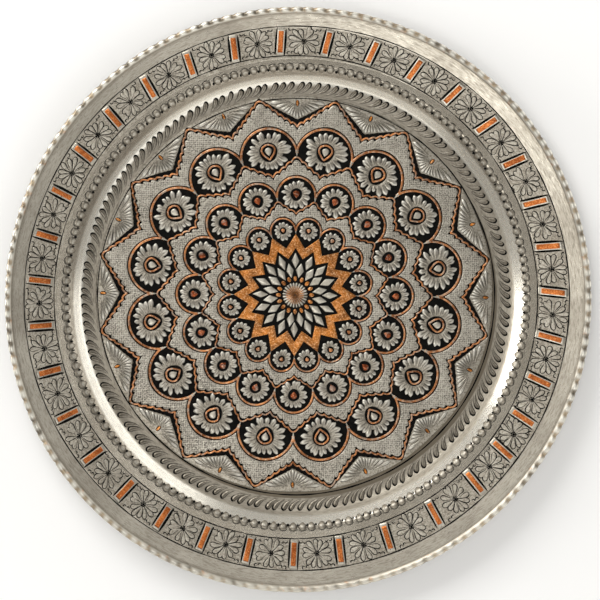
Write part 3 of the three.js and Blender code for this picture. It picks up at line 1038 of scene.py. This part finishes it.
def buildCurls(centres, gaps):
    # two small curls in each corner of a panel
    curls = []
    for turn, gap in zip(centres, gaps):
        width = math.radians(gap / 2) * panelMiddle - 4.4
        for sx, sy in ((-1, -1), (-1, 1), (1, -1), (1, 1)):
            for inward, size in panels["curlLayers"]:
                cx, cy = sx * (panels["curlAt"] - inward * 0.2), sy * (width - 1.6 - inward)
                c, s = compass(np.linspace(20, 250, 9) + rng.random() * 50)
                bend = panels["curlSize"] * size
                curls.append(local(panelMiddle, turn, cx + sx * bend * c * 0.9, cy + sy * bend * s))
    thick = np.interp(np.linspace(0, 1, 9), (0, 0.3, 1), (0.15, 0.45, 0.1))
    first, second = edgesOf(np.array(curls), thick)
    piece = strips("cornerCurls", first, second, blackFinish, flatCross, rise=0.1, lift=0.02)


def buildBars(bars):
    n = len(bars)
    rails = []
    for side in (-1, 1):
        low = panels["inner"] + (0.3 if side < 0 else 1.6) + 0.3 * rng.random(n)
        high = panels["outer"] - (1.6 if side < 0 else 0.3) - 0.3 * rng.random(n)
        start = local(low, bars, 0.0, side * panels["railAt"] + panels["lean"])
        end = local(high, bars, 0.0, side * panels["railAt"] - panels["lean"])
        rails.append(bent(start, (start + end) / 2 + 0.15 * rng.standard_normal((n, 2)), end, 11))
    half = loosen(panels["railHalf"], 2 * n, 0.2)
    rails = np.concatenate(rails)
    piece = leaves("barRails", rails, half, "stroke", blackFinish, rise=0.16, lift=0.02)
    lines = barLine(bars, panels["inner"] + 0.8, panels["outer"] - 0.8, 0.8, 13)
    piece = leaves("barFrames", lines, panels["railAt"] - 0.35, "bar", frameFinish, rise=0.12, cross=plateCross)
    reach = panels["barLength"] / 2
    lines = barLine(bars, panelMiddle - reach, panelMiddle + reach, 0.7, 15)
    half = loosen(panels["barHalf"], n, 0.08)
    piece = leaves("copperBars", lines, half, "bar", barFinish, rise=0.22, lift=0.12, cross=plateCross)


def buildPanels():
    bars = panels["firstBar"] + 360 / panels["count"] * np.arange(panels["count"])
    for at, width, push in panels["drift"]:
        bars = bars + push * np.exp(-(((bars - at) / width) ** 2))
    gaps = (np.roll(bars, -1) - bars) % 360
    centres = bars + gaps / 2
    buildFlowers(centres)
    buildCurls(centres, gaps)
    buildBars(bars)


buildPanels()
print("border panels chased")

# rope border at the foot of the wall
rope = {
    "count": 150, "headAt": 148.3, "tailAt": 141.2, "sweep": 6.6, "half": 1.8, "rise": 0.8,
    "shadow": 0.75, "shadowHalf": 0.12,
}


def buildRope():
    n = rope["count"]
    turns = np.arange(n) * 360 / n + 0.25 * rng.standard_normal(n)
    head = local(rope["headAt"] + 0.2 * rng.standard_normal(n), turns, 0.0, 0.0)
    tailAt = rope["tailAt"] + 0.3 * rng.standard_normal(n)
    tail = local(tailAt, turns, 0.0, rope["sweep"] + 0.4 * rng.standard_normal(n))
    control = local(rope["headAt"] * 0.4 + rope["tailAt"] * 0.6, turns, 0.0, 0.12 * rope["sweep"])
    body = bent(head, control, tail, 13)
    half = loosen(rope["half"], n, 0.1)
    outward = unit(head)
    shadow = rope["shadow"] * (outward - outward[:, ::-1] * (-1, 1))
    shaded = body + shadow[:, None, :]
    wider = half + rope["shadowHalf"]
    dark = leaves("ropeShadows", shaded, wider, "rope", blackFinish, rise=0.3, lift=0.02)
    piece = leaves("ropeLeaves", body, half, "rope", ropeFinish, rope["rise"], lift=0.04)


# chain at the top of the wall: scallops, a pearl on each, a dot between each two
chain = {
    "count": 150, "at": 158.7, "half": 3.0, "deep": 2.0, "rise": 0.5,
    "dotAt": 157.0, "pearl": 1.9, "dot": 0.72,
}


def buildChain():
    n = chain["count"]
    turns = np.arange(n) * 360 / n + 0.2 * rng.standard_normal(n)
    lines = radials(chain["at"], turns, -chain["deep"], chain["deep"], 11)
    half = loosen(chain["half"], n, 0.05)
    piece = leaves("chainScallops", lines, half, "scallop", chainFinish, chain["rise"])
    c, s = compass(np.linspace(-72, 72, 15))
    x, y = chain["deep"] * 1.12 * c, chain["half"] * 1.05 * s
    arcs = np.array([local(chain["at"], turn, x, y) for turn in turns])
    thick = np.interp(np.linspace(0, 1, 15), (0, 0.5, 1), (0.06, 0.26, 0.16))
    first, second = edgesOf(arcs, thick)
    dark = strips("chainOutlines", first, second, blackFinish, flatCross, rise=0.14, lift=0.02)
    lines = radials(chain["dotAt"], turns, -1.5, 2.0)
    half = loosen(chain["pearl"], n, 0.15)
    piece = leaves("chainPearls", lines, half, "bead", pearlFinish, rise=0.32, lift=0.28)
    lines = radials(chain["dotAt"], turns + 180 / n, -0.75, 0.85)
    half = loosen(chain["dot"], n, 0.35)
    piece = leaves("chainDots", lines, half, "bead", blackFinish, rise=0.3, lift=0.3)


buildRope()
buildChain()
print("rope and chain chased")

# floor, lamps and sky
paper = {"side": 5.0, "below": 0.0004, "rough": 0.9, "tones": ((0.93, 0.93, 0.925), (0.95, 0.95, 0.945))}


def addFloor():
    mesh = bpy.data.meshes.new("studioFloor")
    side = paper["side"]
    corners = [(x * side, y * side, -paper["below"]) for x, y in ((-1, -1), (1, -1), (1, 1), (-1, 1))]
    mesh.from_pydata(corners, [], [(0, 1, 2, 3)])
    floor = bpy.data.objects.new("studioFloor", mesh)
    scene.collection.objects.link(floor)
    material, tree, skin, place = newMaterial("palePaper")
    dress(tree, skin, blend(tree, clouds(tree, place, 60, 2), *paper["tones"]), paper["rough"], metal=0.0)
    mesh.materials.append(material)


whites = {
    "over": (1.0, 0.98, 0.95), "low": (1.0, 0.985, 0.96),
    "key": (1.0, 0.99, 0.97), "front": (1.0, 0.97, 0.92),
}
lamps = {
    # degrees round and above the floor that it shines from, distance, size in metres, watts, white
    "overLeft": {"round": 232, "above": 74, "far": 1.5, "size": (0.50, 0.40), "power": 3.3, "white": "over"},
    "overRight": {"round": 30, "above": 79, "far": 1.5, "size": (0.80, 0.50), "power": 0.7, "white": "over"},
    "overUp": {"round": 108, "above": 73, "far": 1.5, "size": (0.50, 0.36), "power": 0.85, "white": "over"},
    "lowRight": {"round": 28, "above": 14, "far": 3.0, "size": (4.2, 1.0), "power": 21, "white": "low"},
    "lowLeft": {"round": 170, "above": 14, "far": 3.0, "size": (1.4, 0.9), "power": 30, "white": "low"},
    "keyUp": {"round": 120, "above": 36, "far": 2.2, "size": (1.4, 0.9), "power": 29, "white": "key"},
    "keyRight": {"round": 300, "above": 42, "far": 2.2, "size": (2.4, 1.7), "power": 14, "white": "key"},
    "lowFront": {"round": 270, "above": 10, "far": 3.0, "size": (4.8, 1.0), "power": 14, "white": "front"},
}


def addLamps():
    for name, lamp in lamps.items():
        data = bpy.data.lights.new(name, "AREA")
        data.shape = "RECTANGLE"
        data.size, data.size_y = lamp["size"]
        data.energy = lamp["power"]
        data.color = whites[lamp["white"]]
        item = bpy.data.objects.new(name, data)
        scene.collection.objects.link(item)
        a, e = math.radians(lamp["round"]), math.radians(lamp["above"])
        out = Vector((math.cos(a) * math.cos(e), math.sin(a) * math.cos(e), math.sin(e)))
        item.location = out * lamp["far"]
        item.rotation_mode = "QUATERNION"
        item.rotation_quaternion = out.to_track_quat("Z", "Y")


sky = {"overhead": 0.16, "horizon": 0.75, "from": 0.05, "lift": 0.85, "colour": (1.0, 0.985, 0.96)}


def addSky():
    # dim overhead, bright low down, as in a tent with its top open
    world = bpy.data.worlds.new("studio")
    scene.world = world
    world.use_nodes = True
    tree = world.node_tree
    split = tree.nodes.new("ShaderNodeSeparateXYZ")
    tree.links.new(tree.nodes.new("ShaderNodeTexCoord").outputs["Generated"], split.inputs[0])
    level = spread(tree, split.outputs[2], sky["from"], sky["lift"], sky["horizon"], sky["overhead"])
    paint = tree.nodes["Background"]
    feed(tree, paint.inputs[0], sky["colour"])
    tree.links.new(level, paint.inputs[1])


addFloor()
addLamps()
addSky()
print("floor and light set")
